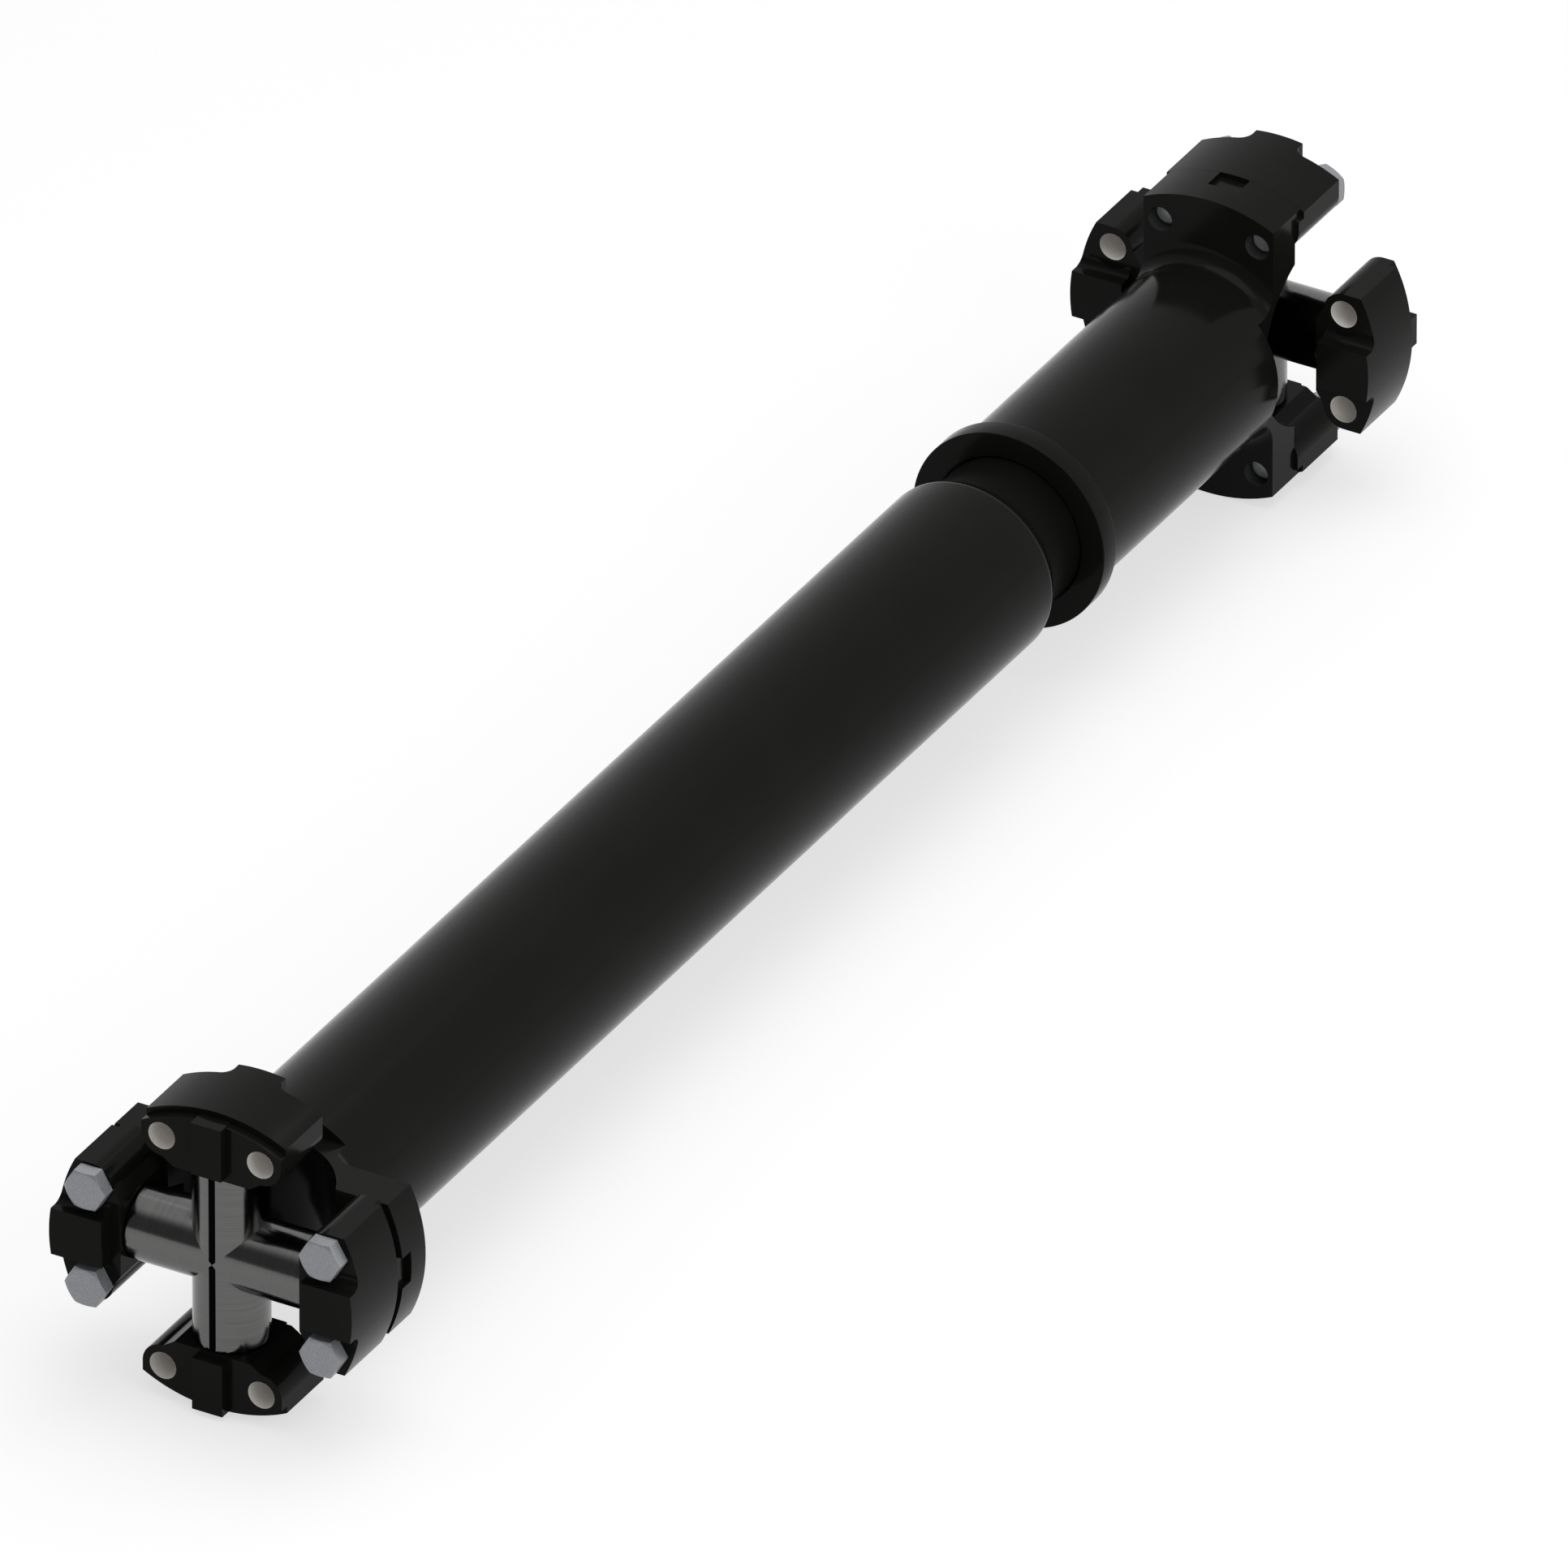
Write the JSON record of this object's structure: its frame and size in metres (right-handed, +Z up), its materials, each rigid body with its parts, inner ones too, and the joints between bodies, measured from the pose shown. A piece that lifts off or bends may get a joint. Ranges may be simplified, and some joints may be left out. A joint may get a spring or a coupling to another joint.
{
  "type": "drive shaft",
  "caption": "Telescopic tubular drive shaft with a wing bearing universal joint bolted at each end.",
  "frame": {"origin": "centre of the near end's four mounting bolt holes, on their mounting faces and the shaft's axis", "axes": "+Y along the shaft from the near end to the far end, +Z up as the shaft lies, +X to the right seen along +Y"},
  "size_m": [0.2, 1.264, 0.2],
  "materials": {
    "black_paint": "satin black paint on forged and rolled steel",
    "sleeve_coating": "smooth black coating on steel",
    "cross_steel": "satin ground steel",
    "bearing_steel": "polished hardened steel",
    "zinc_bolt": "fine grained zinc plate",
    "seal_rubber": "moulded black rubber"
  },
  "bodies": {
    "shaft_tube": {"main_tube": "black_paint", "tube_yoke": "black_paint", "spline_muff": "sleeve_coating", "near_bolts": "zinc_bolt", "yoke_near_left_bearing_block": "black_paint", "yoke_near_left_rollers": "bearing_steel", "yoke_near_left_thrust_washer": "bearing_steel", "yoke_near_left_trunnion_seal": "seal_rubber", "yoke_near_right_bearing_block": "black_paint", "yoke_near_right_rollers": "bearing_steel", "yoke_near_right_thrust_washer": "bearing_steel", "yoke_near_right_trunnion_seal": "seal_rubber"},
    "slip_sleeve": {"slip_yoke": "black_paint", "cover_tube": "black_paint", "cover_collar": "black_paint", "wiper_seal": "seal_rubber", "far_bolts": "zinc_bolt", "yoke_far_top_bearing_block": "black_paint", "yoke_far_top_rollers": "bearing_steel", "yoke_far_top_thrust_washer": "bearing_steel", "yoke_far_top_trunnion_seal": "seal_rubber", "yoke_far_bottom_bearing_block": "black_paint", "yoke_far_bottom_rollers": "bearing_steel", "yoke_far_bottom_thrust_washer": "bearing_steel", "yoke_far_bottom_trunnion_seal": "seal_rubber"},
    "near_cross_body": {"near_cross": "cross_steel"},
    "far_cross_body": {"far_cross": "cross_steel"},
    "near_top_bearing": {"flange_near_top_bearing_block": "black_paint", "flange_near_top_rollers": "bearing_steel", "flange_near_top_thrust_washer": "bearing_steel", "flange_near_top_trunnion_seal": "seal_rubber"},
    "near_bottom_bearing": {"flange_near_bottom_bearing_block": "black_paint", "flange_near_bottom_rollers": "bearing_steel", "flange_near_bottom_thrust_washer": "bearing_steel", "flange_near_bottom_trunnion_seal": "seal_rubber"},
    "far_left_bearing": {"flange_far_left_bearing_block": "black_paint", "flange_far_left_rollers": "bearing_steel", "flange_far_left_thrust_washer": "bearing_steel", "flange_far_left_trunnion_seal": "seal_rubber"},
    "far_right_bearing": {"flange_far_right_bearing_block": "black_paint", "flange_far_right_rollers": "bearing_steel", "flange_far_right_thrust_washer": "bearing_steel", "flange_far_right_trunnion_seal": "seal_rubber"}
  },
  "joints": [
    {"name": "length_slide", "type": "slide", "parent": "shaft_tube", "child": "slip_sleeve", "axis": [0, 1, 0], "range_m": [-0.035, 0.08]},
    {"name": "near_cross_swing", "type": "hinge", "parent": "shaft_tube", "child": "near_cross_body", "pos_m": [0, 0.023, 0], "axis": [1, 0, 0], "range_deg": [-20, 20]},
    {"name": "far_cross_swing", "type": "hinge", "parent": "slip_sleeve", "child": "far_cross_body", "pos_m": [0, 1.215, 0], "axis": [0, 0, 1], "range_deg": [-20, 20]},
    {"name": "near_top_bearing_swing", "type": "hinge", "parent": "near_cross_body", "child": "near_top_bearing", "pos_m": [0, 0.023, 0], "axis": [0, 0, 1], "range_deg": [-20, 20]},
    {"name": "near_bottom_bearing_swing", "type": "hinge", "parent": "near_cross_body", "child": "near_bottom_bearing", "pos_m": [0, 0.023, 0], "axis": [0, 0, 1], "range_deg": [-20, 20]},
    {"name": "far_left_bearing_swing", "type": "hinge", "parent": "far_cross_body", "child": "far_left_bearing", "pos_m": [0, 1.215, 0], "axis": [1, 0, 0], "range_deg": [-20, 20]},
    {"name": "far_right_bearing_swing", "type": "hinge", "parent": "far_cross_body", "child": "far_right_bearing", "pos_m": [0, 1.215, 0], "axis": [1, 0, 0], "range_deg": [-20, 20]}
  ]
}
